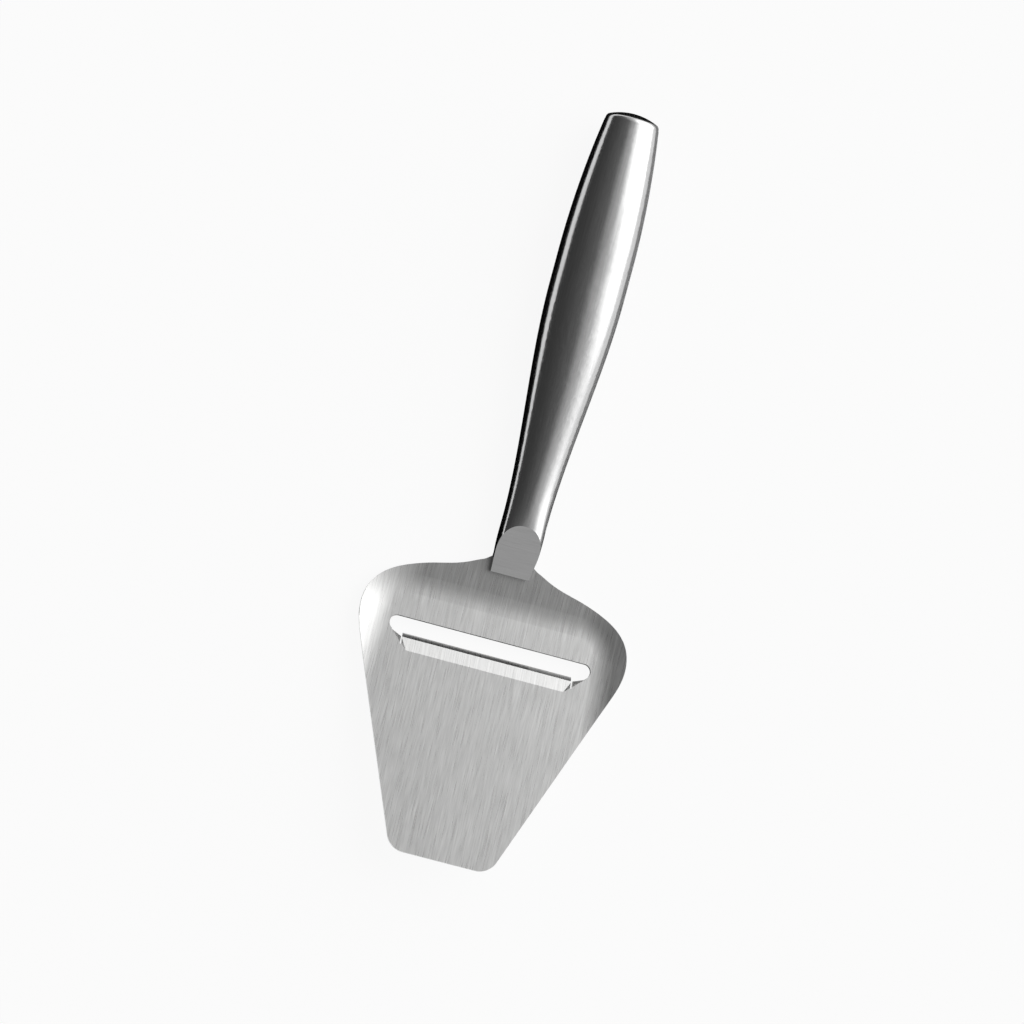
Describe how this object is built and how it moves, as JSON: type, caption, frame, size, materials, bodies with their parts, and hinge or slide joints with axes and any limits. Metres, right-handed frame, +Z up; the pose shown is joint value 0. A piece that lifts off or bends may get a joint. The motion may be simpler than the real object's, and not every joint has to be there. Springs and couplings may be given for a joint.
{
  "type": "cheese slicer",
  "caption": "All-steel cheese slicer: a tapered brushed blade with a cross slot and pressed cutting lip, welded under the flat land of a hollow oval handle.",
  "frame": {"origin": "middle of the whole tool's outline, on the table it rests on", "axes": "+X across the tool to the right as seen from the blade's tip, +Y back along the tool towards the butt of the handle, +Z up from the table"},
  "size_m": [0.0816, 0.228, 0.019],
  "materials": {
    "blade_steel": "fine grain along the tool, bright ground cutting edge",
    "handle_steel": "satin, brushed lengthwise, cross-brushed on the flat land",
    "weld_steel": "as welded, inside the handle"
  },
  "bodies": {
    "root": {"blade_plate": "blade_steel", "handle_nose": "handle_steel", "handle_upper_shell": "handle_steel", "handle_lower_shell": "handle_steel", "butt_cap": "handle_steel", "spot_welds": "weld_steel", "seam_welds": "weld_steel", "nose_weld": "weld_steel", "butt_weld": "weld_steel"}
  },
  "joints": []
}
